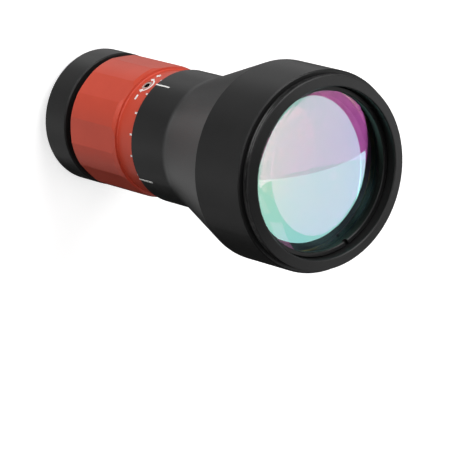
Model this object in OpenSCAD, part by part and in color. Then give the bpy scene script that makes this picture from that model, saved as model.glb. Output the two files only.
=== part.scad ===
// Beam expander: a fixed housing with a cemented output lens, and an input lens
// that slides along the axis without turning when the adjustment ring is turned.
// The optical axis is +Z. The input end stands on z = 0 and the output lens faces up.
// Radii build up from the lenses outwards, and lengths from the input end forwards.

/* [Input end] */
// Radius of the input mounting thread
input_thread_r = 15.25; // [14:0.05:17]
// Length of the input mounting thread boss
input_boss_len = 2.4; // [2:0.1:6]
// Height of the input flange ring over the neck
flange_rise = 2.13; // [1.4:0.01:4]
// Length of the input flange ring
flange_len = 8.7; // [6:0.1:14]
// Wall of the neck round the guide sleeve
neck_wall = 2.2; // [2:0.1:3]
// Length of the neck
neck_len = 0.9; // [0.6:0.1:3]

/* [Adjustment ring] */
// Number of flats round the grip
flat_count = 8; // [6:1:12]
// Depth of the flats below the lands between them
flat_cut = 0.33; // [0.2:0.01:0.5]
// Angle of the first flat from the lock screw
flat_phase = 14.25; // [0:0.25:45]
// Height of the grip's lands over the scale skirt
grip_rise = 1.1; // [0.8:0.05:2.5]
// Length of the grip, without its bevel
grip_len = 17.95; // [15:0.05:24]
// Chamfer on the rear edge of the grip
grip_chamfer = 0.5; // [0.3:0.05:0.8]
// Length of the bevel between the grip and the shoulder over the scale skirt
bevel_len = 1.35; // [0.8:0.05:2]
// Drop of the bevel from the lands to the shoulder
bevel_drop = 0.3; // [0.2:0.05:0.6]
// Wall of the scale skirt round the thrust washers
skirt_wall = 0.7; // [0.5:0.05:1.5]
// Length of the scale skirt
skirt_len = 6.8; // [5.5:0.1:12]
// Gap between the skirt and the housing
skirt_gap = 0.3; // [0.2:0.05:0.6]

/* [Housing] */
// Wall of the rear tube round the guide sleeve
tube_wall = 4.2; // [3:0.1:6]
// Length of the rear tube
tube_len = 13.9; // [11:0.1:20]
// Length of the cone
cone_len = 23.3; // [16:0.1:32]
// Radius of the fillet between the tube and the cone
cone_fillet = 6; // [2:0.5:12]
// Height of the front barrel over the output mounting thread
barrel_rise = 1.05; // [0.8:0.05:3]
// Length of the front barrel
barrel_len = 17; // [15:0.1:24]
// Step that stops the guide sleeve in the housing
guide_stop = 1.3; // [0.8:0.1:1.8]
// Distance from the guide sleeve's front end to the cone
guide_inset = 1.4; // [0.5:0.1:4]

/* [Output end] */
// Wall of the threaded rim round the front bore
rim_wall = 2.75; // [1.8:0.05:4]
// Length of the output mounting thread
output_thread_len = 2.4; // [2.2:0.1:4]
// Depth of the two grooves in the output mounting thread
thread_groove = 0.45; // [0.2:0.05:0.7]
// Width of the two grooves in the output mounting thread
groove_w = 0.5; // [0.3:0.05:0.6]
// Length of the land between the two grooves
groove_land = 0.75; // [0.4:0.05:0.9]
// Height of the front lip above the thread
lip_rise = 0.5; // [0.2:0.1:1]
// Depth of the output retaining ring below the front lip
ring_recess = 2.7; // [2.2:0.1:4]
// Width of the output retaining ring in from the front bore
output_ring_w = 1.4; // [1:0.1:2.5]
// Thickness of the output retaining ring
output_ring_len = 2; // [1.4:0.1:3]
// Width of the spanner slots in the retaining rings
spanner_slot_w = 1.1; // [0.6:0.1:2]
// Depth of the spanner slots in the output retaining ring
spanner_slot_depth = 1.1; // [0.5:0.1:1.3]
// Angle of the spanner slots about the axis
spanner_slot_angle = 81.5; // [0:0.5:180]

/* [Optics] */
// Radius of the output lens
output_lens_r = 20.9; // [18:0.05:24]
// Curvature radius of the front of the output lens
front_curve_r = 62; // [50:1:120]
// Curvature radius of the cemented face
cement_curve_r = 60; // [50:1:120]
// Curvature radius of the rear of the output lens
rear_curve_r = 180; // [120:5:400]
// Edge thickness of the crown element
crown_edge_t = 1.6; // [1:0.1:4]
// Centre thickness of the flint element
flint_t = 3; // [2:0.1:4]
// Thickness of the ring that the output lens sits on
seat_ring_t = 1; // [0.5:0.1:1.5]
// Radius of the input lens
input_lens_r = 7.9; // [6.5:0.05:9]
// Centre thickness of the input lens
input_lens_t = 2; // [1.5:0.1:3]
// Curvature radius of both faces of the input lens
input_curve_r = 35; // [25:1:80]

/* [Guide and cam] */
// Wall of the guide sleeve
guide_wall = 2; // [1.6:0.1:2.4]
// Wall of the cam sleeve
cam_wall = 1.75; // [1.2:0.05:1.9]
// Distance from the cam sleeve's front end to the lock screw
cam_gap = 0.8; // [0.4:0.1:2]
// Rise of the cam slots in one turn
cam_lead = 12; // [9:0.5:18]
// Angle that the ring turns to each side
ring_turn_angle = 90; // [60:5:100]
// Thickness of the thrust washers
washer_t = 1; // [0.6:0.1:1.4]
// Free height of the wave washer
wave_h = 1; // [0.7:0.1:1.4]
// Thickness of the wave washer strip
wave_t = 0.25; // [0.15:0.05:0.4]
// Number of waves round the wave washer
wave_count = 3; // [3:1:6]

/* [Lens carriage] */
// Length of the lens carriage
carriage_len = 14; // [12:0.5:18]
// Wall of the carriage round the input lens
carriage_wall = 2.8; // [2.2:0.1:4]
// Wall of the front of the carriage
carriage_front_wall = 1.75; // [1:0.05:2.5]
// Length of the bearing land at each end
land_len = 3.5; // [2.5:0.5:4.5]
// Depth of the relief between the lands
land_relief = 0.3; // [0.1:0.05:0.5]
// Distance from the drive pins forwards to the middle of the input lens
lens_offset = 0.6; // [-2:0.1:2]
// Thickness of the lip in front of the input lens
lens_lip_t = 1; // [0.6:0.1:1.5]
// Width of the lip and of the retaining ring in the carriage
lens_lip_w = 1; // [0.6:0.1:1.6]
// Length of the input retaining ring
input_ring_len = 2; // [1.2:0.1:3]
// Depth of the spanner slot in the input retaining ring
input_slot_depth = 0.8; // [0.4:0.1:1]
// Radius of the drive pin shoulder
pin_r = 1.25; // [1:0.05:1.5]
// Radius of the drive pin shank
pin_shank_r = 0.9; // [0.7:0.05:0.95]
// Wall between the drive pins and the input lens
pin_floor = 0.6; // [0.3:0.1:1]
// Width and depth of the driver slot in the drive pins
pin_slot = 0.4; // [0.2:0.05:0.6]

/* [Lock screw] */
// Radius of the lock screw
lock_screw_r = 1.42; // [1.2:0.01:1.6]
// Length of the lock screw
lock_screw_len = 1.9; // [1.6:0.1:2.2]
// Depth of the lock screw below the skirt
screw_sink = 0.25; // [0:0.05:0.6]
// Distance across the flats of the hex socket
hex_af = 1.27; // [0.9:0.01:1.5]
// Depth of the hex socket
hex_depth = 1.1; // [0.8:0.1:1.3]
// Distance from the skirt's front end to the lock screw
lock_inset = 4.4; // [3.6:0.1:5]
// Radius of the lock pad
lock_pad_r = 1.35; // [1:0.01:1.4]
// Angle of the lock screw about the axis
lock_angle = -90; // [-180:5:180]

/* [Fits] */
// Radial clearance of the turning and sliding fits
fit_clear = 0.05; // [0.02:0.01:0.1]
// Clearance between a drive pin and the walls of its slots
slot_clear = 0.07; // [0.04:0.01:0.1]
// End play of the adjustment ring
end_play = 0.05; // [0.02:0.01:0.1]
// Radial clearance round the washers
washer_clear = 0.2; // [0.1:0.05:0.4]
// Radial clearance of the lock screw's thread
thread_clear = 0.03; // [0.02:0.01:0.06]
// Step between the output lens and the thread of its retaining ring
ring_step = 0.25; // [0.15:0.05:0.5]
// Chamfer on turned edges
edge_chamfer = 0.3; // [0.1:0.05:0.5]
// Chamfer on the thin edges of rings and lips
fine_chamfer = 0.2; // [0.1:0.05:0.3]

/* [Hidden] */
$fn = 96;

ANODISED_BLACK = [0.10, 0.10, 0.11];
ANODISED_RED = [0.74, 0.17, 0.11];
GLASS = [0.75, 0.80, 0.90, 0.5];
BRASS = [0.78, 0.62, 0.32];
STEEL = [0.72, 0.72, 0.74];
POLYMER = [0.86, 0.84, 0.78];

overlap = 0.5;          // how far a cutter runs past the face it cuts
guide_seat = 1;         // floor of the flange behind the guide sleeve
seat_step = 0.4;        // how far the seat ring reaches in past the retaining ring
throat_len = 1.5;       // straight part of the bore in front of the guide sleeve
relief = 0.5;           // depth and width of the relief behind the input thread
pin_tip_gap = 0.2;      // from a drive pin's tip to the outside of the cam sleeve
pin_count = 3;          // drive pins, and slots for them in each sleeve
pin_step = 360 / pin_count;

// Radii from the input lens outwards
input_bore_r = input_lens_r + fit_clear;
carriage_r = input_bore_r + carriage_wall;
carriage_bore_r = carriage_r - carriage_front_wall;
waist_r = carriage_r - land_relief;
guide_bore_r = carriage_r + fit_clear;
guide_r = guide_bore_r + guide_wall;
cam_bore_r = guide_r + fit_clear;
cam_r = cam_bore_r + cam_wall;
washer_r = cam_bore_r + fit_clear;
neck_r = guide_r + neck_wall;
pocket_r = neck_r + washer_clear;
skirt_r = pocket_r + skirt_wall;
grip_r = skirt_r + grip_rise;
flat_r = grip_r - flat_cut;
flange_r = neck_r + flange_rise;
tube_r = guide_r + tube_wall;
throat_r = guide_r - guide_stop;
input_ring_inner_r = input_lens_r - lens_lip_w;

// Radii from the output lens outwards
lens_bore_r = output_lens_r + fit_clear;
front_bore_r = lens_bore_r + ring_step;
output_ring_inner_r = front_bore_r - output_ring_w;
seat_r = output_ring_inner_r - seat_step;
output_thread_r = front_bore_r + rim_wall;
groove_r = output_thread_r - thread_groove;
barrel_r = output_thread_r + barrel_rise;

// Stations along the axis, from the input end
z_flange = input_boss_len;
z_neck = z_flange + flange_len;
z_neck_end = z_neck + neck_len;
z_grip = z_neck_end + wave_h;
z_cam = z_grip + washer_t + end_play;
z_bevel = z_grip + grip_len;
z_skirt = z_bevel + bevel_len;
z_skirt_end = z_skirt + skirt_len;
z_lock = z_skirt_end - lock_inset;
z_tube = z_skirt_end + skirt_gap;
z_front_washer = z_tube - washer_t;
z_cone = z_tube + tube_len;
z_barrel = z_cone + cone_len;
z_thread = z_barrel + barrel_len;
z_lip = z_thread + output_thread_len;
z_top = z_lip + lip_rise;
z_ring_top = z_top - ring_recess;
z_ring_bottom = z_ring_top - output_ring_len;

// Output lens: the ring's inner edge bears on the front face, and the rear face
// bears on the inner edge of the seat ring
crown_t = crown_edge_t + sag(front_curve_r, output_lens_r) + sag(cement_curve_r, output_lens_r);
z_crown_front = z_ring_bottom + sag(front_curve_r, output_ring_inner_r);
z_cement = z_crown_front - crown_t;
z_flint_rear = z_cement - flint_t;
z_seat_top = z_flint_rear + sag(rear_curve_r, seat_r);
z_seat = z_seat_top - seat_ring_t;

// Lock screw, measured outwards from the axis
lock_hole_r = lock_screw_r + thread_clear;
pad_inner_r = guide_r + end_play;
screw_outer_r = skirt_r - screw_sink;
screw_inner_r = screw_outer_r - lock_screw_len;

// Cam sleeve and guide sleeve
cam_len = z_lock - lock_hole_r - cam_gap - z_cam;
z_guide = z_flange + guide_seat;
z_guide_end = z_cone - guide_inset;
z_pins = z_cam + cam_len / 2;
travel = cam_lead * ring_turn_angle / 360;

// Carriage, its lens and its pins
z_carriage = z_pins - carriage_len / 2;
lens_edge_t = input_lens_t + 2 * sag(input_curve_r, input_lens_r);
z_input_lens = z_pins + lens_offset;
z_input_rear = z_input_lens - lens_edge_t / 2;
z_input_front = z_input_lens + lens_edge_t / 2;
slot_r = pin_r + slot_clear;
pin_inner_r = input_bore_r + pin_floor;
pin_tip_r = cam_r - pin_tip_gap;

// Depth of a spherical face of radius big_r at the distance r from its centre
function sag(big_r, r) = big_r - sqrt(big_r * big_r - r * r);

// Points [r, z] along an arc
function arc(centre, r, from, to, steps) =
    [for (i = [0:steps]) let (a = from + (to - from) * i / steps)
        centre + r * [cos(a), sin(a)]];

// Tube between two radii
module tube(z, len, outer_r, inner_r) {
    translate([0, 0, z])
        difference() {
            cylinder(h = len, r = outer_r);
            translate([0, 0, -overlap])
                cylinder(h = len + 2 * overlap, r = inner_r);
        }
}

// Cylinder whose axis runs outwards from the optical axis
module spoke(angle, z, from_r, to_r, r) {
    rotate([0, 0, angle])
        translate([from_r, 0, z])
            rotate([0, 90, 0])
                cylinder(h = to_r - from_r, r = r, $fn = 48);
}

// Outer profile of the housing, with a fillet where the tube runs into the cone
module housing_outline() {
    z_land = z_thread + groove_w;
    z_groove = z_land + groove_land;
    slope = atan((barrel_r - tube_r) / cone_len);
    tangent = cone_fillet * tan(slope / 2);
    fillet = arc([tube_r + cone_fillet, z_cone - tangent], cone_fillet, 180, 180 - slope, 6);
    polygon(concat(
        [[0, z_tube], [tube_r - edge_chamfer, z_tube], [tube_r, z_tube + edge_chamfer]],
        fillet,
        [[barrel_r, z_barrel],
         [barrel_r, z_thread - edge_chamfer],
         [barrel_r - edge_chamfer, z_thread],
         [groove_r, z_thread],
         [groove_r, z_land],
         [output_thread_r, z_land],
         [output_thread_r, z_groove],
         [groove_r, z_groove],
         [groove_r, z_groove + groove_w],
         [output_thread_r, z_groove + groove_w],
         [output_thread_r, z_lip - fine_chamfer / 2],
         [output_thread_r - fine_chamfer, z_lip],
         [front_bore_r + 2 * fine_chamfer, z_top],
         [0, z_top]]));
}

// Turned bore of the housing, from the guide sleeve's thread to the front lip
module housing_bore() {
    polygon([
        [0, z_tube - overlap],
        [guide_r, z_tube - overlap],
        [guide_r, z_guide_end],
        [throat_r, z_guide_end],
        [throat_r, z_guide_end + throat_len],
        [seat_r, z_barrel],
        [seat_r, z_seat],
        [lens_bore_r, z_seat],
        [lens_bore_r, z_ring_bottom],
        [front_bore_r, z_ring_bottom],
        [front_bore_r, z_top - fine_chamfer],
        [front_bore_r + fine_chamfer, z_top],
        [front_bore_r + fine_chamfer, z_top + overlap],
        [0, z_top + overlap]]);
}

module main_housing() {
    color(ANODISED_BLACK)
        rotate_extrude()
            difference() {
                housing_outline();
                housing_bore();
            }
}

// Biconvex front element
module output_crown_lens() {
    color(GLASS)
        intersection() {
            translate([0, 0, z_cement - overlap])
                cylinder(h = crown_t + 2 * overlap, r = output_lens_r);
            translate([0, 0, z_crown_front - front_curve_r])
                sphere(r = front_curve_r, $fn = 240);
            translate([0, 0, z_cement + cement_curve_r])
                sphere(r = cement_curve_r, $fn = 240);
        }
}

// Meniscus cemented to the back of the crown
module output_flint_lens() {
    color(GLASS)
        difference() {
            intersection() {
                translate([0, 0, z_flint_rear - overlap])
                    cylinder(h = flint_t + sag(cement_curve_r, output_lens_r) + overlap,
                             r = output_lens_r);
                translate([0, 0, z_flint_rear + rear_curve_r])
                    sphere(r = rear_curve_r, $fn = 360);
            }
            translate([0, 0, z_cement + cement_curve_r])
                sphere(r = cement_curve_r, $fn = 240);
        }
}

module lens_seat_ring() {
    color(BRASS)
        tube(z_seat, seat_ring_t, output_lens_r, seat_r);
}

module output_retaining_ring() {
    color(ANODISED_BLACK)
        difference() {
            rotate_extrude()
                polygon([
                    [output_ring_inner_r, z_ring_bottom],
                    [front_bore_r, z_ring_bottom],
                    [front_bore_r, z_ring_top - 2 * fine_chamfer],
                    [front_bore_r - 2 * fine_chamfer, z_ring_top],
                    [output_ring_inner_r + fine_chamfer, z_ring_top],
                    [output_ring_inner_r, z_ring_top - fine_chamfer]]);
            rotate([0, 0, spanner_slot_angle])
                translate([-front_bore_r - overlap, -spanner_slot_w / 2,
                           z_ring_top - spanner_slot_depth])
                    cube([2 * (front_bore_r + overlap), spanner_slot_w,
                          spanner_slot_depth + overlap]);
        }
}

// Straight tube with one straight slot for each drive pin
module guide_sleeve() {
    color(ANODISED_BLACK)
        difference() {
            tube(z_guide, z_guide_end - z_guide, guide_r, guide_bore_r);
            for (k = [0:pin_count - 1]) {
                rotate([0, 0, k * pin_step])
                    translate([guide_bore_r - overlap, -slot_r, z_pins - travel])
                        cube([guide_wall + 2 * overlap, 2 * slot_r, 2 * travel]);
                for (end = [-1, 1])
                    spoke(k * pin_step, z_pins + end * travel,
                          guide_bore_r - overlap, guide_r + overlap, slot_r);
            }
        }
}

// Flange ring with the input thread behind it and a neck in front
module input_flange() {
    color(ANODISED_BLACK)
        rotate_extrude()
            polygon([
                [guide_bore_r, edge_chamfer],
                [guide_bore_r + edge_chamfer, 0],
                [input_thread_r - edge_chamfer, 0],
                [input_thread_r, edge_chamfer],
                [input_thread_r, z_flange - relief - fine_chamfer / 2],
                [input_thread_r - relief, z_flange - relief],
                [input_thread_r - relief, z_flange],
                [flange_r - edge_chamfer, z_flange],
                [flange_r, z_flange + edge_chamfer],
                [flange_r, z_neck - edge_chamfer],
                [flange_r - edge_chamfer, z_neck],
                [neck_r, z_neck],
                [neck_r, z_neck_end],
                [guide_r, z_neck_end],
                [guide_r, z_guide],
                [guide_bore_r, z_guide]]);
}

// Spring washer: a flat strip that rises and falls wave_count times round the ring
module wave_washer() {
    steps = 24 * wave_count;
    outer_r = neck_r - washer_clear;
    swing = (wave_h - wave_t) / 2;
    points = [for (i = [0:steps - 1])
        let (a = 360 * i / steps, z = z_neck_end + swing * (1 + cos(wave_count * a)))
        for (c = [[washer_r, 0], [outer_r, 0], [outer_r, wave_t], [washer_r, wave_t]])
            [c[0] * cos(a), c[0] * sin(a), z + c[1]]];
    faces = [for (i = [0:steps - 1], s = [0:3])
        let (p = 4 * i, q = 4 * ((i + 1) % steps), t = (s + 1) % 4)
        [p + s, p + t, q + t, q + s]];
    color(STEEL)
        polyhedron(points = points, faces = faces, convexity = 6);
}

module rear_thrust_washer() {
    color(BRASS)
        tube(z_grip, washer_t, neck_r, washer_r);
}

module front_thrust_washer() {
    color(BRASS)
        tube(z_front_washer + end_play, washer_t - end_play, neck_r, washer_r);
}

// Prism whose sides are the grip's flats; its corners stand clear of the lands
module grip_flats() {
    flat_step = 360 / flat_count;
    corner_r = flat_r / cos(flat_step / 2);
    translate([0, 0, z_grip - overlap])
        linear_extrude(height = z_skirt_end - z_grip + 2 * overlap)
            polygon([for (k = [0:flat_count - 1])
                let (a = lock_angle + flat_phase + flat_step * (k + 1 / 2))
                corner_r * [cos(a), sin(a)]]);
}

module adjustment_ring() {
    color(ANODISED_RED)
        difference() {
            intersection() {
                rotate_extrude()
                    polygon([
                        [cam_bore_r, z_grip],
                        [grip_r - grip_chamfer, z_grip],
                        [grip_r, z_grip + grip_chamfer],
                        [grip_r, z_bevel],
                        [grip_r - bevel_drop, z_skirt],
                        [skirt_r + fine_chamfer, z_skirt],
                        [skirt_r, z_skirt + fine_chamfer],
                        [skirt_r, z_skirt_end - fine_chamfer],
                        [skirt_r - fine_chamfer, z_skirt_end],
                        [cam_bore_r, z_skirt_end]]);
                grip_flats();
            }
            translate([0, 0, z_grip - overlap])
                cylinder(h = z_cam - z_grip + overlap, r = pocket_r);
            translate([0, 0, z_cam - overlap])
                cylinder(h = cam_len + overlap, r = cam_r);
            translate([0, 0, z_front_washer])
                cylinder(h = z_skirt_end - z_front_washer + overlap, r = pocket_r);
            spoke(lock_angle, z_lock, guide_r - overlap, grip_r + overlap, lock_hole_r);
        }
}

// Cutter for one cam slot: a slot along a helix round the axis, as wide as a drive
// pin's shoulder needs and round at both ends. Each station is [turn, lean], where
// lean swings the slot's cross line round the end of the helix.
module helix_slot(start_angle) {
    steps = 30;
    leans = [20, 40, 60, 80];
    last_lean = len(leans) - 1;
    stations = concat(
        [for (i = [last_lean:-1:0]) [-ring_turn_angle, -leans[i]]],
        [for (i = [0:steps]) [ring_turn_angle * (2 * i / steps - 1), 0]],
        [for (lean = leans) [ring_turn_angle, lean]]);
    count = len(stations);
    points = [for (s = stations, c = [[-1, 0], [-1, 1], [1, 1], [1, 0]])
        slot_point(start_angle, s[0], s[1], c[0],
                   c[1] == 0 ? cam_bore_r - overlap : cam_r + overlap)];
    sides = [for (i = [0:count - 2], s = [0:3])
        let (p = 4 * i, q = 4 * (i + 1), t = (s + 1) % 4)
        [p + s, p + t, q + t, q + s]];
    last = 4 * (count - 1);
    ends = [[3, 2, 1, 0], [last, last + 1, last + 2, last + 3]];
    polyhedron(points = points, faces = concat(ends, sides), convexity = 4);
}

// Point on a cam slot's wall at the radius r; side is -1 below the helix and 1 above
function slot_point(start_angle, turn, lean, side, r) =
    let (rise = atan(cam_lead / (2 * PI * r)),
         along = slot_r * (sin(lean) * cos(rise) - side * cos(lean) * sin(rise)),
         up = slot_r * (sin(lean) * sin(rise) + side * cos(lean) * cos(rise)),
         a = start_angle + turn + along / r * 180 / PI)
    [r * cos(a), r * sin(a), z_pins + cam_lead * turn / 360 + up];

// Bushing with one helical through slot for each drive pin
module cam_sleeve() {
    color(BRASS)
        difference() {
            tube(z_cam, cam_len, cam_r, cam_bore_r);
            for (k = [0:pin_count - 1])
                helix_slot(k * pin_step);
        }
}

// Cell that carries the input lens and slides in the guide sleeve
module lens_carriage() {
    z_end = z_carriage + carriage_len;
    color(BRASS)
        difference() {
            rotate_extrude()
                polygon([
                    [input_bore_r, z_carriage],
                    [carriage_r, z_carriage],
                    [carriage_r, z_carriage + land_len],
                    [waist_r, z_carriage + land_len + land_relief],
                    [waist_r, z_end - land_len - land_relief],
                    [carriage_r, z_end - land_len],
                    [carriage_r, z_end],
                    [carriage_bore_r, z_end],
                    [carriage_bore_r, z_input_front + lens_lip_t],
                    [input_ring_inner_r, z_input_front + lens_lip_t],
                    [input_ring_inner_r, z_input_front],
                    [input_bore_r, z_input_front]]);
            for (k = [0:pin_count - 1])
                spoke(k * pin_step, z_pins, pin_inner_r, carriage_r + overlap, pin_shank_r);
        }
}

// Biconcave lens
module input_lens() {
    color(GLASS)
        difference() {
            translate([0, 0, z_input_rear])
                cylinder(h = lens_edge_t, r = input_lens_r);
            for (side = [-1, 1])
                translate([0, 0, z_input_lens + side * (input_lens_t / 2 + input_curve_r)])
                    sphere(r = input_curve_r, $fn = 240);
        }
}

module input_retaining_ring() {
    color(ANODISED_BLACK)
        difference() {
            tube(z_input_rear - input_ring_len, input_ring_len, input_bore_r, input_ring_inner_r);
            translate([-input_bore_r - overlap, -spanner_slot_w / 2,
                       z_input_rear - input_ring_len - overlap])
                cube([2 * (input_bore_r + overlap), spanner_slot_w,
                      input_slot_depth + overlap]);
        }
}

// Shouldered pin: its shank is screwed into the carriage, and its shoulder runs
// through the guide sleeve's straight slot into the cam slot
module drive_pin(k) {
    color(STEEL)
        difference() {
            union() {
                spoke(k * pin_step, z_pins, pin_inner_r, waist_r + overlap, pin_shank_r);
                spoke(k * pin_step, z_pins, waist_r, pin_tip_r, pin_r);
            }
            rotate([0, 0, k * pin_step])
                translate([pin_tip_r - pin_slot, -pin_r - overlap, z_pins - pin_slot / 2])
                    cube([pin_slot + overlap, 2 * (pin_r + overlap), pin_slot]);
        }
}

// Soft plug that the lock screw presses on the guide sleeve
module lock_pad() {
    color(POLYMER)
        spoke(lock_angle, z_lock, pad_inner_r, screw_inner_r, lock_pad_r);
}

module lock_screw() {
    color(STEEL)
        difference() {
            spoke(lock_angle, z_lock, screw_inner_r, screw_outer_r, lock_screw_r);
            rotate([0, 0, lock_angle])
                translate([screw_outer_r - hex_depth, 0, z_lock])
                    rotate([0, 90, 0])
                        cylinder(h = hex_depth + overlap, r = hex_af / sqrt(3), $fn = 6);
        }
}

main_housing();
output_crown_lens();
output_flint_lens();
lens_seat_ring();
output_retaining_ring();
guide_sleeve();
input_flange();
wave_washer();
rear_thrust_washer();
front_thrust_washer();
adjustment_ring();
cam_sleeve();
lens_carriage();
input_lens();
input_retaining_ring();
drive_pin(0);  // drive_pin_1
drive_pin(1);  // drive_pin_2
drive_pin(2);  // drive_pin_3
lock_pad();
lock_screw();
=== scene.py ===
import math

import bmesh
import bpy
from mathutils import Matrix, Vector


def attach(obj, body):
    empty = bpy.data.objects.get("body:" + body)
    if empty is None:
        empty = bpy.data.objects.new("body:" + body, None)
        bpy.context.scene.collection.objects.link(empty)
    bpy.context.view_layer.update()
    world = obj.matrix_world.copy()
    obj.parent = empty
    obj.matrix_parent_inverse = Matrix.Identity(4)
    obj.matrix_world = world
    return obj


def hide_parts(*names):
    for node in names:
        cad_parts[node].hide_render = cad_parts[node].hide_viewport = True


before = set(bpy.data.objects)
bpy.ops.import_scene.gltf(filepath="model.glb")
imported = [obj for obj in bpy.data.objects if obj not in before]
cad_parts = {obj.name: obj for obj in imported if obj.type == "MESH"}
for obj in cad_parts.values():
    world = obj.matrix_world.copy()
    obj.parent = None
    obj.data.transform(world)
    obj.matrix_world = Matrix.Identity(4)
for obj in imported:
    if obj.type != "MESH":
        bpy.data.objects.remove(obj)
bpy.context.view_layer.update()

# ------------------------------------------------------------------ sizes, in millimetres
MM = 0.001

# Skirt of the adjustment ring, the tube in front of it, and the lock screw in the skirt
SKIRT_R = 15.9
TUBE_R = 17.0
Z_SKIRT_END = 39.1
Z_TUBE = 39.4
Z_LOCK = 34.7
LOCK_ANGLE = -90.0
SOCKET_R = 0.74
SOCKET_FADE = 0.08

# Output lens, as the solids have it: its front face bears on the retaining ring
LENS_R = 20.9
FRONT_CURVE_R = 62.0
REAR_CURVE_R = 180.0
Z_RING_BOTTOM = 91.8
RING_INNER_R = 19.8
CROWN_EDGE_T = 1.6
CEMENT_CURVE_R = 60.0
FLINT_T = 3.0
LENS_BEVEL = 0.25

# Print: how far it stands out of the surface and lies in it, and half an arrow tip's width
PRINT_RISE = 0.045
PRINT_SINK = 0.05
ARROW_TIP = 0.02

# Screw threads: radius, start and end along the axis, and pitch
OUTPUT_THREAD = (23.95, 94.0, 95.75, 0.75)
INPUT_THREAD = (15.25, 0.45, 1.85, 0.5)
# How far a turn stands out of the thread's radius, and how far its root lies in it
THREAD_RISE = 0.10
THREAD_SINK = 0.05


def sag(big_r, r):
    """Depth of a spherical face of radius big_r at the distance r from its centre."""
    return big_r - math.sqrt(big_r * big_r - r * r)


Z_LENS_FRONT = Z_RING_BOTTOM + sag(FRONT_CURVE_R, RING_INNER_R)
CROWN_T = CROWN_EDGE_T + sag(FRONT_CURVE_R, LENS_R) + sag(CEMENT_CURVE_R, LENS_R)
Z_LENS_REAR = Z_LENS_FRONT - CROWN_T - FLINT_T


# ------------------------------------------------------------------ shader helpers
class Graph:
    """Adds nodes to a node tree and wires them by socket name or number."""

    def __init__(self, tree):
        self.nodes = tree.nodes
        self.links = tree.links

    def put(self, socket, value):
        """Wires the socket to another one, or gives it a plain value."""
        if isinstance(value, bpy.types.NodeSocket):
            self.links.new(value, socket)
        elif value is not None:
            socket.default_value = value

    def node(self, kind, inputs=None, **settings):
        """Adds a node with its settings, and wires or sets its inputs."""
        made = self.nodes.new(kind)
        for key, value in settings.items():
            setattr(made, key, value)
        for key, value in (inputs or {}).items():
            self.put(made.inputs[key], value)
        return made

    def math(self, operation, a, b=None, clamp=False):
        """A sum, product or the like of one or two values."""
        made = self.node("ShaderNodeMath", {0: a, 1: b}, operation=operation, use_clamp=clamp)
        return made.outputs[0]

    def hypot(self, a, b):
        """Length of the vector (a, b)."""
        squares = self.math("MULTIPLY", a, a), self.math("MULTIPLY", b, b)
        return self.math("SQRT", self.math("ADD", *squares))

    def place(self):
        """The point that is shaded, in the object's own axes."""
        return self.node("ShaderNodeTexCoord").outputs["Object"]

    def split(self, vector):
        """The X, Y and Z of a vector."""
        return self.node("ShaderNodeSeparateXYZ", {0: vector}).outputs

    def span(self, value, lo, hi, to_lo=0.0, to_hi=1.0):
        """The value moved from the range lo to hi into the range to_lo to to_hi."""
        made = self.node("ShaderNodeMapRange", {"Value": value, "From Min": lo, "From Max": hi,
                                                "To Min": to_lo, "To Max": to_hi})
        return made.outputs["Result"]

    def mix(self, share, a, b):
        """The colour a, with a share of the colour b. Sockets 6, 7 and 2 hold the colours."""
        made = self.node("ShaderNodeMix", {"Factor": share, 6: a, 7: b}, data_type="RGBA")
        return made.outputs[2]

    def noise(self, vector, scale, detail=2.0, roughness=0.5):
        """Cloudy noise from 0 to 1."""
        made = self.node("ShaderNodeTexNoise", {"Vector": vector, "Scale": scale,
                                                "Detail": detail, "Roughness": roughness})
        return made.outputs["Fac"]


def new_group(name, sockets_in, sockets_out):
    """Shader group with an interface of its own. Returns the group and its graph."""
    tree = bpy.data.node_groups.new(name, "ShaderNodeTree")
    for label, kind, default in sockets_in:
        socket = tree.interface.new_socket(name=label, in_out="INPUT", socket_type=kind)
        socket.default_value = default
    for label, kind in sockets_out:
        tree.interface.new_socket(name=label, in_out="OUTPUT", socket_type=kind)
    graph = Graph(tree)
    graph.group_in = graph.node("NodeGroupInput").outputs
    graph.group_out = graph.node("NodeGroupOutput").inputs
    return tree, graph


def build_turned_group():
    """Fine rings left by a lathe round the Z axis, and the fine pits of a blasted surface."""
    tree, g = new_group(
        "turned_surface",
        [("Rings", "NodeSocketFloat", 9000.0), ("Pits", "NodeSocketFloat", 5200.0)],
        [("Rings", "NodeSocketFloat"), ("Pits", "NodeSocketFloat"), ("Cloud", "NodeSocketFloat")])
    place = g.place()
    parts = g.split(place)
    rings = g.node("ShaderNodeCombineXYZ", {"X": g.hypot(parts["X"], parts["Y"]),
                                            "Y": parts["Z"],
                                            "Z": g.math("MULTIPLY", parts["X"], 0.02)})
    g.put(g.group_out["Rings"], g.noise(rings.outputs[0], g.group_in["Rings"], 3.0, 0.6))
    g.put(g.group_out["Pits"], g.noise(place, g.group_in["Pits"], 2.0, 0.6))
    g.put(g.group_out["Cloud"], g.noise(place, 60.0, 4.0, 0.55))
    return tree


def build_edge_group():
    """Painted highlight along outer edges: 1 on sharp edges, broken up by noise."""
    tree, g = new_group(
        "painted_edge_highlight",
        [("Width", "NodeSocketFloat", 0.00025), ("Amount", "NodeSocketFloat", 0.5)],
        [("Mask", "NodeSocketFloat")])
    place = g.place()
    rounded = g.node("ShaderNodeBevel", {"Radius": g.group_in["Width"]}, samples=4)
    flat = g.node("ShaderNodeNewGeometry").outputs["Normal"]
    same = g.node("ShaderNodeVectorMath", {0: rounded.outputs[0], 1: flat}, operation="DOT_PRODUCT")
    edge = g.span(same.outputs["Value"], 0.985, 0.86)
    broken = g.span(g.noise(place, 900.0, 3.0, 0.65), 0.40, 0.62)
    g.put(g.group_out["Mask"], g.math("MULTIPLY", g.math("MULTIPLY", edge, broken),
                                      g.group_in["Amount"], clamp=True))
    return tree


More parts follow.
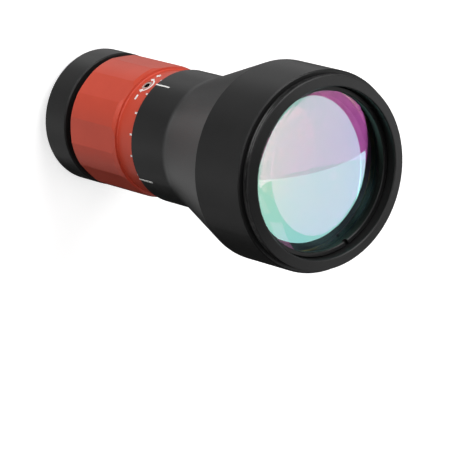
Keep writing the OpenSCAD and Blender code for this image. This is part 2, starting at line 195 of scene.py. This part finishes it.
def build_dust_group():
    """A thin settled dust, heavier on faces that look up."""
    tree, g = new_group("settled_dust", [("Amount", "NodeSocketFloat", 0.15)],
                        [("Mask", "NodeSocketFloat")])
    place = g.place()
    normal = g.node("ShaderNodeNewGeometry").outputs["Normal"]
    up = g.span(g.split(normal)["Z"], 0.2, 1.0, 0.25, 1.0)
    specks = g.span(g.noise(place, 1400.0, 4.0, 0.7), 0.60, 0.74)
    film = g.span(g.noise(place, 180.0, 3.0, 0.5), 0.35, 0.8, 0.0, 0.25)
    both = g.math("MAXIMUM", specks, film)
    g.put(g.group_out["Mask"], g.math("MULTIPLY", g.math("MULTIPLY", both, up),
                                      g.group_in["Amount"], clamp=True))
    return tree


TURNED = build_turned_group()
EDGES = build_edge_group()
DUST = build_dust_group()


# ------------------------------------------------------------------ kinds of material
DUST_COLOUR = (0.42, 0.41, 0.39, 1)
SOCKET_SHADE = (0.025, 0.023, 0.020, 1)
WORN_INK = (0.30, 0.27, 0.26, 1)
FILM_SPREAD = 2.0         # how far a coating's thickness strays, in nanometres


def new_material(name):
    """Empty material. Returns it and its graph, whose shader feeds the output."""
    mat = bpy.data.materials.new(name)
    mat.use_nodes = True
    mat.node_tree.nodes.clear()
    g = Graph(mat.node_tree)
    g.shader = g.node("ShaderNodeBsdfPrincipled")
    out = g.node("ShaderNodeOutputMaterial")
    g.put(out.inputs["Surface"], g.shader.outputs[0])
    return mat, g


def use_group(g, tree, **inputs):
    """Places a shader group in a material and returns its outputs."""
    made = g.node("ShaderNodeGroup", node_tree=tree)
    for key, value in inputs.items():
        g.put(made.inputs[key], value)
    return made.outputs


def surface_bump(g, turned, rings, pits):
    """Bump from lathe rings and blasted pits; rings and pits are heights in metres."""
    first = g.node("ShaderNodeBump", {"Strength": 1.0, "Distance": rings,
                                      "Height": turned["Rings"]})
    second = g.node("ShaderNodeBump", {"Strength": 1.0, "Distance": pits,
                                       "Height": turned["Pits"], "Normal": first.outputs[0]})
    return second.outputs[0]


def anodised(name, dark, light, highlight_colour, rough, level, rings, pits, highlight_amount, dust):
    """Anodised aluminium: dyed colour with faint clouds, a painted highlight on sharp edges and a
    little dust.
    """
    mat, g = new_material(name)
    turned = use_group(g, TURNED)
    edge = use_group(g, EDGES, Amount=highlight_amount)["Mask"]
    dusty = use_group(g, DUST, Amount=dust)["Mask"]
    dyed = g.mix(g.span(turned["Cloud"], 0.3, 0.7), (*dark, 1), (*light, 1))
    # Painted highlight: sharp edges turn towards the lighter edge colour
    edge_lit = g.mix(edge, dyed, (*highlight_colour, 1))
    g.put(g.shader.inputs["Base Color"], g.mix(dusty, edge_lit, DUST_COLOUR))
    base = g.span(turned["Pits"], 0.3, 0.7, *rough)
    g.put(g.shader.inputs["Roughness"], g.math("ADD", base, g.math("MULTIPLY", dusty, 0.5)))
    g.shader.inputs["IOR"].default_value = 1.5
    g.shader.inputs["Specular IOR Level"].default_value = level
    g.put(g.shader.inputs["Normal"], surface_bump(g, turned, rings, pits))
    return mat


def metal(name, dark, light, rough, rings, pits, spots):
    """Bare turned metal with a patchy tarnish."""
    mat, g = new_material(name)
    turned = use_group(g, TURNED)
    tarnish = g.span(turned["Cloud"], 0.35, 0.75, 0.0, spots)
    g.put(g.shader.inputs["Base Color"], g.mix(tarnish, (*light, 1), (*dark, 1)))
    g.shader.inputs["Metallic"].default_value = 1.0
    streak = g.span(turned["Rings"], 0.3, 0.7, *rough)
    g.put(g.shader.inputs["Roughness"], g.math("ADD", streak, g.math("MULTIPLY", tarnish, 0.15)))
    g.put(g.shader.inputs["Normal"], surface_bump(g, turned, rings, pits))
    return mat


def socket_steel(name, dark, light, hole_r):
    """Blasted steel of the lock screw, with painted shade down its hexagon socket."""
    mat = metal(name, dark, light, rough=(0.50, 0.60), rings=1.0e-6, pits=1.2e-6, spots=0.5)
    g = Graph(mat.node_tree)
    shader = next(node for node in g.nodes if node.type == "BSDF_PRINCIPLED")
    steel = shader.inputs["Base Color"].links[0].from_socket
    parts = g.split(g.place())
    off_axis = g.hypot(parts["X"], g.math("SUBTRACT", parts["Z"], Z_LOCK * MM))
    # Painted shade: dark colour inside the socket's radius, where the hexagon hole lies
    inside = g.span(off_axis, hole_r * MM, (hole_r + SOCKET_FADE) * MM, 1.0, 0.0)
    g.put(shader.inputs["Base Color"], g.mix(inside, steel, SOCKET_SHADE))
    return mat


def coated_glass(name, film_nm, film_ior, glass_ior):
    """Clear glass with a thin coating whose colour comes from its thickness."""
    mat, g = new_material(name)
    turned = use_group(g, TURNED)
    g.shader.inputs["Base Color"].default_value = (1, 1, 1, 1)
    g.shader.inputs["Transmission Weight"].default_value = 1.0
    g.shader.inputs["IOR"].default_value = glass_ior
    g.shader.inputs["Thin Film IOR"].default_value = film_ior
    thick = g.span(turned["Cloud"], 0.2, 0.8, film_nm - FILM_SPREAD, film_nm + FILM_SPREAD)
    g.put(g.shader.inputs["Thin Film Thickness"], thick)
    smear = g.span(turned["Cloud"], 0.45, 0.8, 0.0, 0.012)
    g.put(g.shader.inputs["Roughness"], smear)
    return mat


def print_ink(name, colour, thin):
    """Screen-printed ink, rubbed thin in places."""
    mat, g = new_material(name)
    place = g.place()
    gaps = g.span(g.noise(place, 2600.0, 3.0, 0.6), 0.62, 0.78, 0.0, thin)
    g.put(g.shader.inputs["Base Color"], g.mix(gaps, (*colour, 1), WORN_INK))
    g.put(g.shader.inputs["Roughness"], g.span(g.noise(place, 4000.0), 0.3, 0.7, 0.42, 0.62))
    return mat


def matt(name, dark, light, rough):
    """Plain matt surface with faint clouds."""
    mat, g = new_material(name)
    turned = use_group(g, TURNED)
    g.put(g.shader.inputs["Base Color"],
          g.mix(g.span(turned["Cloud"], 0.3, 0.7), (*dark, 1), (*light, 1)))
    g.put(g.shader.inputs["Roughness"], g.span(turned["Pits"], 0.3, 0.7, *rough))
    g.put(g.shader.inputs["Normal"], surface_bump(g, turned, 1.0e-6, 4.0e-6))
    return mat


# ------------------------------------------------------------------ materials
# Colours come as the darker and the lighter of two; rings and pits are heights in metres
# Each anodised finish has a lighter edge colour, painted on sharp edges as a highlight
BLACK = anodised("anodised_black", (0.0082, 0.0082, 0.0084), (0.0112, 0.0112, 0.0115),
                 highlight_colour=(0.10, 0.10, 0.105), rough=(0.34, 0.42), level=0.40,
                 rings=1.2e-6, pits=1.6e-6, highlight_amount=0.30, dust=0.03)
BLACK_FINE = anodised("anodised_black_fine", (0.006, 0.006, 0.0062), (0.008, 0.008, 0.0082),
                      highlight_colour=(0.12, 0.12, 0.12), rough=(0.30, 0.38), level=0.35,
                      rings=2.0e-6, pits=0.8e-6, highlight_amount=0.40, dust=0.02)
BLACK_DEEP = anodised("anodised_black_bore", (0.005, 0.005, 0.0052), (0.007, 0.007, 0.0072),
                      highlight_colour=(0.10, 0.10, 0.10), rough=(0.50, 0.62), level=0.3,
                      rings=2.5e-6, pits=1.0e-6, highlight_amount=0.25, dust=0.02)
RED = anodised("anodised_red", (0.55, 0.056, 0.026), (0.62, 0.067, 0.032),
               highlight_colour=(0.70, 0.22, 0.14), rough=(0.34, 0.44), level=0.5,
               rings=1.0e-6, pits=1.6e-6, highlight_amount=0.30, dust=0.03)
BRASS = metal("brass", (0.45, 0.30, 0.12), (0.72, 0.53, 0.24),
              rough=(0.22, 0.34), rings=2.0e-6, pits=0.6e-6, spots=0.6)
STEEL = metal("steel", (0.34, 0.33, 0.31), (0.58, 0.56, 0.53),
              rough=(0.32, 0.44), rings=1.2e-6, pits=0.8e-6, spots=0.5)
SCREW_STEEL = socket_steel("blasted_steel", (0.62, 0.59, 0.55), (0.88, 0.84, 0.78), SOCKET_R)
POLYMER = matt("polymer", (0.62, 0.60, 0.54), (0.74, 0.72, 0.66), rough=(0.45, 0.60))
FRONT_COAT = coated_glass("lens_front_coat", film_nm=137.0, film_ior=2.8, glass_ior=1.52)
REAR_COAT = coated_glass("lens_rear_coat", film_nm=321.0, film_ior=2.7, glass_ior=1.62)
INPUT_COAT = coated_glass("input_lens_coat", film_nm=200.0, film_ior=2.1, glass_ior=1.55)
LENS_EDGE = matt("lens_ground_edge", (0.03, 0.022, 0.018), (0.05, 0.036, 0.028), rough=(0.6, 0.8))
INK = print_ink("white_ink", (0.82, 0.82, 0.80), thin=0.35)

# ------------------------------------------------------------------ finish of the solids
FINISH = {
    "main_housing": BLACK,
    "output_retaining_ring": BLACK_FINE,
    "guide_sleeve": BLACK_DEEP,
    "input_flange": BLACK,
    "input_retaining_ring": BLACK_FINE,
    "adjustment_ring": RED,
    "cam_sleeve": BRASS,
    "lens_carriage": BRASS,
    "lens_seat_ring": BRASS,
    "rear_thrust_washer": BRASS,
    "front_thrust_washer": BRASS,
    "wave_washer": STEEL,
    "drive_pin_1": STEEL,
    "drive_pin_2": STEEL,
    "drive_pin_3": STEEL,
    "lock_screw": SCREW_STEEL,
    "lock_pad": POLYMER,
    "input_lens": INPUT_COAT,
    "output_crown_lens": FRONT_COAT,
    "output_flint_lens": REAR_COAT,
}
for name, finish in FINISH.items():
    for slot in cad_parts[name].material_slots:
        slot.material = finish


# ------------------------------------------------------------------ mesh helpers
def new_object(name, verts, faces, materials, face_material=None, sharp=0.6):
    """Mesh object from points in metres; normals are turned outwards."""
    mesh = bpy.data.meshes.new(name)
    mesh.from_pydata([tuple(v) for v in verts], [], [tuple(f) for f in faces])
    for mat in materials:
        mesh.materials.append(mat)
    if face_material is not None:
        for face, index in zip(mesh.polygons, face_material):
            face.material_index = index
    work = bmesh.new()
    work.from_mesh(mesh)
    bmesh.ops.recalc_face_normals(work, faces=work.faces)
    work.to_mesh(mesh)
    work.free()
    mesh.shade_smooth()
    mesh.set_sharp_from_angle(angle=sharp)
    made = bpy.data.objects.new(name, mesh)
    bpy.context.scene.collection.objects.link(made)
    return made


def lathe(name, profile, tags, materials, steps, sharp):
    """Closed turned body from points [r, z] in millimetres. The profile starts and ends on
    the axis or closes on itself; tags gives each stretch of it a material."""
    on_axis = profile[0][0] == 0
    verts, rings = [], []
    for r, z in profile:
        if r == 0:
            rings.append([len(verts)])
            verts.append((0.0, 0.0, z * MM))
            continue
        rings.append(list(range(len(verts), len(verts) + steps)))
        for k in range(steps):
            a = 2 * math.pi * k / steps
            verts.append((r * math.cos(a) * MM, r * math.sin(a) * MM, z * MM))
    faces, picks = [], []
    count = len(profile)
    for i in range(count - 1 if on_axis else count):
        low, high = rings[i], rings[(i + 1) % count]
        for k in range(steps):
            n = (k + 1) % steps
            if len(low) == 1:
                faces.append((low[0], high[k], high[n]))
            elif len(high) == 1:
                faces.append((low[k], high[0], low[n]))
            else:
                faces.append((low[k], high[k], high[n], low[n]))
            picks.append(tags[i])
    return new_object(name, verts, faces, materials, picks, sharp)


def on_cylinder(point, radius, angle):
    """Millimetres round and along a cylinder, counted from the angle, to metres in space."""
    u, z = point
    a = math.radians(angle) + u / radius
    return (radius * math.cos(a) * MM, radius * math.sin(a) * MM, z * MM)


def printed_shapes(name, shapes, radius, angle, material):
    """Thin raised print on a cylinder. Each shape is a list of pairs of points, the two
    sides of a stroke from its start to its end."""
    verts, faces = [], []
    for rows in shapes:
        first = len(verts)
        for left, right in rows:
            for height, point in ((PRINT_RISE, left), (PRINT_RISE, right),
                                  (-PRINT_SINK, right), (-PRINT_SINK, left)):
                x, y, z = on_cylinder(point, radius, angle)
                grow = (radius + height) / radius
                verts.append((x * grow, y * grow, z))
        for i in range(len(rows) - 1):
            p = first + 4 * i
            for s in range(4):
                t = (s + 1) % 4
                faces.append((p + s, p + t, p + 4 + t, p + 4 + s))
        last = first + 4 * (len(rows) - 1)
        faces.append((first + 3, first + 2, first + 1, first))
        faces.append((last, last + 1, last + 2, last + 3))
    return new_object(name, verts, faces, [material])


def stops(middle, half, steps):
    """Even stops from one end of a stroke to the other."""
    return [middle - half + 2 * half * i / steps for i in range(steps + 1)]


def bar(u, z, half_u, half_z, steps=2):
    """Straight stroke along the axis, centred on (u, z)."""
    return [((u - half_u, at), (u + half_u, at)) for at in stops(z, half_z, steps)]


def cross_bar(u, z, half_u, half_z, steps=8):
    """Straight stroke round the cylinder, centred on (u, z)."""
    return [((at, z + half_z), (at, z - half_z)) for at in stops(u, half_u, steps)]


def arc_arrow(u, z, across, rise, half_w, head_w, head_angle, start, end, steps=40):
    """Curved arrow with a head at both ends, round the centre (u, z)."""
    rows = []
    for i in range(steps + 1):
        a = start + (end - start) * i / steps
        to_tip = min(a - start, end - a)
        width = half_w
        if to_tip < head_angle:
            width = ARROW_TIP + head_w * to_tip / head_angle
        c = math.cos(math.radians(a))
        s = math.sin(math.radians(a))
        rows.append(((u + (across - width) * c, z + (rise - width) * s),
                     (u + (across + width) * c, z + (rise + width) * s)))
    return rows


def polar_array_tree():
    """Geometry Nodes tree that copies its geometry round the Z axis."""
    tree = bpy.data.node_groups.new("polar_array", "GeometryNodeTree")
    for label, kind in (("Geometry", "Geometry"), ("Count", "Int"), ("Start", "Float"),
                        ("Step", "Float"), ("Uneven", "Float"), ("Seed", "Int"),
                        ("Finish", "Material")):
        tree.interface.new_socket(name=label, in_out="INPUT", socket_type="NodeSocket" + kind)
    tree.interface.new_socket(name="Geometry", in_out="OUTPUT",
                              socket_type="NodeSocketGeometry")
    g = Graph(tree)
    group_in = g.node("NodeGroupInput").outputs
    group_out = g.node("NodeGroupOutput").inputs
    points = g.node("GeometryNodePoints", {"Count": group_in["Count"]})
    index = g.node("GeometryNodeInputIndex").outputs[0]
    # Sockets 2 and 3 hold the least and greatest of a plain random number, and output 1 gives it
    stray = g.node("FunctionNodeRandomValue", {2: -1.0, 3: 1.0, "Seed": group_in["Seed"]},
                   data_type="FLOAT")
    turn = g.math("ADD", group_in["Start"], g.math("MULTIPLY", index, group_in["Step"]))
    turn = g.math("ADD", turn, g.math("MULTIPLY", stray.outputs[1], group_in["Uneven"]))
    rotation = g.node("ShaderNodeCombineXYZ", {"Z": turn})
    copies = g.node("GeometryNodeInstanceOnPoints",
                    {"Points": points.outputs[0], "Instance": group_in["Geometry"],
                     "Rotation": rotation.outputs[0]})
    real = g.node("GeometryNodeRealizeInstances", {"Geometry": copies.outputs[0]})
    done = g.node("GeometryNodeSetMaterial", {"Geometry": real.outputs[0],
                                              "Material": group_in["Finish"]})
    g.put(group_out["Geometry"], done.outputs[0])
    return tree


POLAR_ARRAY = polar_array_tree()


def array_round(obj, count, start, step, uneven, seed, material):
    """Repeats an object round the Z axis and returns one plain mesh object."""
    values = {"Count": count, "Start": math.radians(start), "Step": math.radians(step),
              "Uneven": math.radians(uneven), "Seed": seed, "Finish": material}
    modifier = obj.modifiers.new("round", "NODES")
    modifier.node_group = POLAR_ARRAY
    for item in POLAR_ARRAY.interface.items_tree:
        if item.in_out == "INPUT" and item.name in values:
            modifier[item.identifier] = values[item.name]
    bpy.context.view_layer.update()
    baked = obj.evaluated_get(bpy.context.evaluated_depsgraph_get())
    mesh = bpy.data.meshes.new_from_object(baked)
    mesh.name = obj.name
    obj.modifiers.clear()
    obj.data = mesh
    return obj


# ------------------------------------------------------------------ output lens
FRONT_FACE, REAR_FACE, SIDE_FACE = 0, 1, 2


def lens_profile(front_rows=36, rear_rows=28):
    """Closed outline of the cemented output lens, with small ground bevels. Each point comes
    with the material of the stretch that starts there."""
    flat_r = LENS_R - LENS_BEVEL
    points, tags = [], []
    for i in range(front_rows + 1):
        r = flat_r * i / front_rows
        points.append((r, Z_LENS_FRONT - sag(FRONT_CURVE_R, r)))
        tags.append(FRONT_FACE)
    tags[-1] = SIDE_FACE
    points.append((LENS_R, Z_LENS_FRONT - sag(FRONT_CURVE_R, LENS_R) - LENS_BEVEL))
    tags.append(SIDE_FACE)
    points.append((LENS_R, Z_LENS_REAR + sag(REAR_CURVE_R, LENS_R) + LENS_BEVEL))
    tags.append(SIDE_FACE)
    for i in range(rear_rows, -1, -1):
        r = flat_r * i / rear_rows
        points.append((r, Z_LENS_REAR + sag(REAR_CURVE_R, r)))
        tags.append(REAR_FACE)
    return points, tags


doublet = lathe("output_doublet", *lens_profile(), [FRONT_COAT, REAR_COAT, LENS_EDGE],
                steps=256, sharp=0.35)
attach(doublet, "housing")
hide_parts("output_crown_lens", "output_flint_lens")

# ------------------------------------------------------------------ printed marks
tick = printed_shapes("skirt_ticks", [bar(0, Z_SKIRT_END - 1.20, 0.24, 0.44)], SKIRT_R, 0, INK)
ticks = array_round(tick, count=18, start=LOCK_ANGLE - 10, step=20, uneven=0.15, seed=3,
                    material=INK)
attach(ticks, "ring")

index = printed_shapes("index_lines", [bar(0, Z_TUBE + 2.9, 0.21, 2.75, steps=4)], TUBE_R, 0, INK)
indexes = array_round(index, count=4, start=LOCK_ANGLE + 0.2, step=90, uneven=0.1, seed=5,
                      material=INK)
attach(indexes, "housing")

arrow_line = arc_arrow(0, Z_LOCK - 0.25, across=2.15, rise=2.25, half_w=0.22, head_w=0.60,
                       head_angle=28, start=-14, end=194)
arrow = printed_shapes("turn_arrow", [arrow_line], SKIRT_R, LOCK_ANGLE, INK)
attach(arrow, "ring")

SIGN_ANGLE = 15.4         # from the lock screw to the sign on each side of it
plus_lines = [cross_bar(0, Z_LOCK - 0.15, 0.70, 0.23), bar(0, Z_LOCK - 0.15, 0.23, 0.70)]
plus = printed_shapes("plus_sign", plus_lines, SKIRT_R, LOCK_ANGLE - SIGN_ANGLE, INK)
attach(plus, "ring")
minus_lines = [cross_bar(0, Z_LOCK + 0.1, 0.70, 0.30)]
minus = printed_shapes("minus_sign", minus_lines, SKIRT_R, LOCK_ANGLE + SIGN_ANGLE, INK)
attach(minus, "ring")


# ------------------------------------------------------------------ screw threads
def thread_turns(name, radius, z_start, z_end, pitch, material, per_turn=96, fade=30):
    """Helical ridge of a right-hand screw thread. It grows and dies away over as many steps
    as fade says, and covers four fifths of the pitch."""
    steps = int(per_turn * (z_end - z_start) / pitch)
    verts, faces = [], []
    for i in range(steps + 1):
        a = 2 * math.pi * i / per_turn
        z = z_start + (z_end - z_start) * i / steps
        size = 0.02 + 0.98 * min(1.0, i / fade, (steps - i) / fade)
        half = 0.40 * pitch * size
        root = radius - THREAD_SINK
        for r, height in ((root, z - half), (radius + THREAD_RISE * size, z), (root, z + half)):
            verts.append((r * math.cos(a) * MM, r * math.sin(a) * MM, height * MM))
    for i in range(steps):
        p = 3 * i
        for k in range(3):
            n = (k + 1) % 3
            faces.append((p + k, p + n, p + 3 + n, p + 3 + k))
    last = 3 * steps
    faces.append((0, 1, 2))
    faces.append((last + 2, last + 1, last))
    return new_object(name, verts, faces, [material], sharp=0.4)


output_thread = thread_turns("output_thread_turns", *OUTPUT_THREAD, BLACK_FINE)
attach(output_thread, "housing")
input_thread = thread_turns("input_thread_turns", *INPUT_THREAD, BLACK_FINE)
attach(input_thread, "housing")

# ------------------------------------------------------------------ floor
# Lengths are in metres from here on
FLOOR_SIDE = 8.0
FLOOR_DROP = 0.0002       # how far the floor lies below the part's foot
FLOOR_GLOW = 0.62

floor_mat, fg = new_material("studio_floor")
fg.shader.inputs["Roughness"].default_value = 0.9
paper = fg.span(fg.noise(fg.place(), 40.0, 3.0), 0.3, 0.7, 0.86, 0.90)
fg.put(fg.shader.inputs["Base Color"],
       fg.node("ShaderNodeCombineColor", {"Red": paper, "Green": paper, "Blue": paper}).outputs[0])
fg.shader.inputs["Emission Color"].default_value = (1, 1, 1, 1)
fg.shader.inputs["Emission Strength"].default_value = FLOOR_GLOW
bpy.ops.mesh.primitive_plane_add(size=FLOOR_SIDE, location=(0, 0, -FLOOR_DROP))
floor = bpy.context.object
floor.name = "studio_floor"
floor.data.materials.append(floor_mat)
floor.visible_glossy = False
floor.visible_diffuse = False

# ------------------------------------------------------------------ camera
CAMERA_AT = Vector((0.389485, -0.477684, 0.816111))
CAMERA_ANGLE = 6.5257

# The camera's own axes: BACK points from the object to the camera
BACK = Vector((0.38547, -0.50303, 0.77354)).normalized()
UP = BACK.cross(Vector((-0.67149, 0.42205, 0.60908)).normalized()).normalized()
RIGHT = UP.cross(BACK).normalized()

camera_data = bpy.data.cameras.new("camera")
camera_data.angle = math.radians(CAMERA_ANGLE)
camera_data.clip_start = 0.01
camera_data.clip_end = 50
camera = bpy.data.objects.new("camera", camera_data)
bpy.context.scene.collection.objects.link(camera)
turn = Matrix((RIGHT, UP, BACK)).transposed()
camera.matrix_world = Matrix.Translation(CAMERA_AT) @ turn.to_4x4()
bpy.context.scene.camera = camera
bpy.context.scene.view_settings.view_transform = "Standard"


# ------------------------------------------------------------------ light
def view_dir(right, up, back):
    """Direction given along the camera's own axes."""
    return (RIGHT * right + UP * up + BACK * back).normalized()


WORLD_GLOW = 0.03
PANEL_AIM = Vector((0.0, 0.0, 0.059))
PANEL_DISTANCE = 1.0
PANEL_SIDE = 0.80
# Soft panels, each by its way along the camera's right, up and back, and its radiance
PANELS = {
    "key_panel": ((-1, 1, 1), 5.3),
    "right_panel": ((1, 1, 1), 3.6),
    "camera_panel": ((0, 0, 1), 0.65),
    "side_panel": ((1, 0, 0), 1.10),
    "low_right_panel": ((1, -1, 0), 0.70),
    "low_left_panel": ((-1, -1, 0), 0.70),
    "left_panel": ((-1, 0, 0), 0.30),
    "back_left_panel": ((-1, 0, -1), 0.60),
    "back_top_panel": ((0, 1, -1), 0.50),
    "back_corner_panel": ((-1, 1, -1), 0.40),
}

# Axes and middle of the cards, which stand in front of the output lens
CARD_OUT = view_dir(0.94, -0.27, 0.20)
CARD_LEAN = view_dir(0.21, 0.91, 0.355)
CARD_UP = (CARD_LEAN - CARD_OUT * CARD_LEAN.dot(CARD_OUT)).normalized()
CARD_SIDE = CARD_UP.cross(CARD_OUT).normalized()
CARD_MIDDLE = Vector((0.0, 0.0, 0.0914))

# The output lens is lit by the cards alone, and everything else by the panels alone
lens_only = bpy.data.collections.new("output_lens_only")
lens_only.objects.link(doublet)
all_but_lens = bpy.data.collections.new("all_but_output_lens")
all_but_lens.objects.link(doublet)
all_but_lens.collection_objects[0].light_linking.link_state = "EXCLUDE"


def area_light(name, shape, width, height, radiance, receivers, location, turn_to):
    """Flat light that only some objects receive; radiance is what a mirror would show."""
    data = bpy.data.lights.new(name, "AREA")
    data.shape = shape
    data.size = width
    data.size_y = height
    data.energy = radiance * math.pi * width * height
    if shape == "ELLIPSE":
        data.energy *= math.pi / 4
    made = bpy.data.objects.new(name, data)
    bpy.context.scene.collection.objects.link(made)
    made.location = location
    made.rotation_mode = "QUATERNION"
    made.rotation_quaternion = turn_to
    made.visible_camera = False
    made.light_linking.receiver_collection = receivers


def card(name, side, up, radiance, distance, shape="RECTANGLE"):
    """Flat light from side[0] to side[1] and from up[0] to up[1]. No two share a distance,
    because of lights in one plane only one is seen in the glass."""
    centre = CARD_MIDDLE + CARD_OUT * distance
    centre += CARD_SIDE * (sum(side) / 2) + CARD_UP * (sum(up) / 2)
    turn_to = Matrix((CARD_SIDE, CARD_UP, CARD_OUT)).transposed().to_quaternion()
    area_light(name, shape, side[1] - side[0], up[1] - up[0], radiance, lens_only, centre,
               turn_to)


def panel(name, way, radiance):
    """Soft square light that faces the object."""
    direction = view_dir(*way)
    area_light(name, "RECTANGLE", PANEL_SIDE, PANEL_SIDE, radiance, all_but_lens,
               PANEL_AIM + direction * PANEL_DISTANCE, direction.to_track_quat("Z", "Y"))


# Three cards and a lamp: the two coatings show each of them in a colour of their own
card("round_card", (-0.50, 0.34), (-0.68, 0.44), 1.08, 0.70, "ELLIPSE")
card("lower_card", (-0.48, 0.75), (-0.68, 0.02), 0.42, 0.71)
card("side_card", (0.335, 0.85), (-0.70, 0.02), 1.10, 0.72)
card("top_lamp", (0.27, 0.50), (0.30, 0.60), 0.50, 0.73)
for name, (way, radiance) in PANELS.items():
    panel(name, way, radiance)

world = bpy.data.worlds.new("studio")
bpy.context.scene.world = world
world.use_nodes = True
world.node_tree.nodes["Background"].inputs["Color"].default_value = (1, 1, 1, 1)
world.node_tree.nodes["Background"].inputs["Strength"].default_value = WORLD_GLOW
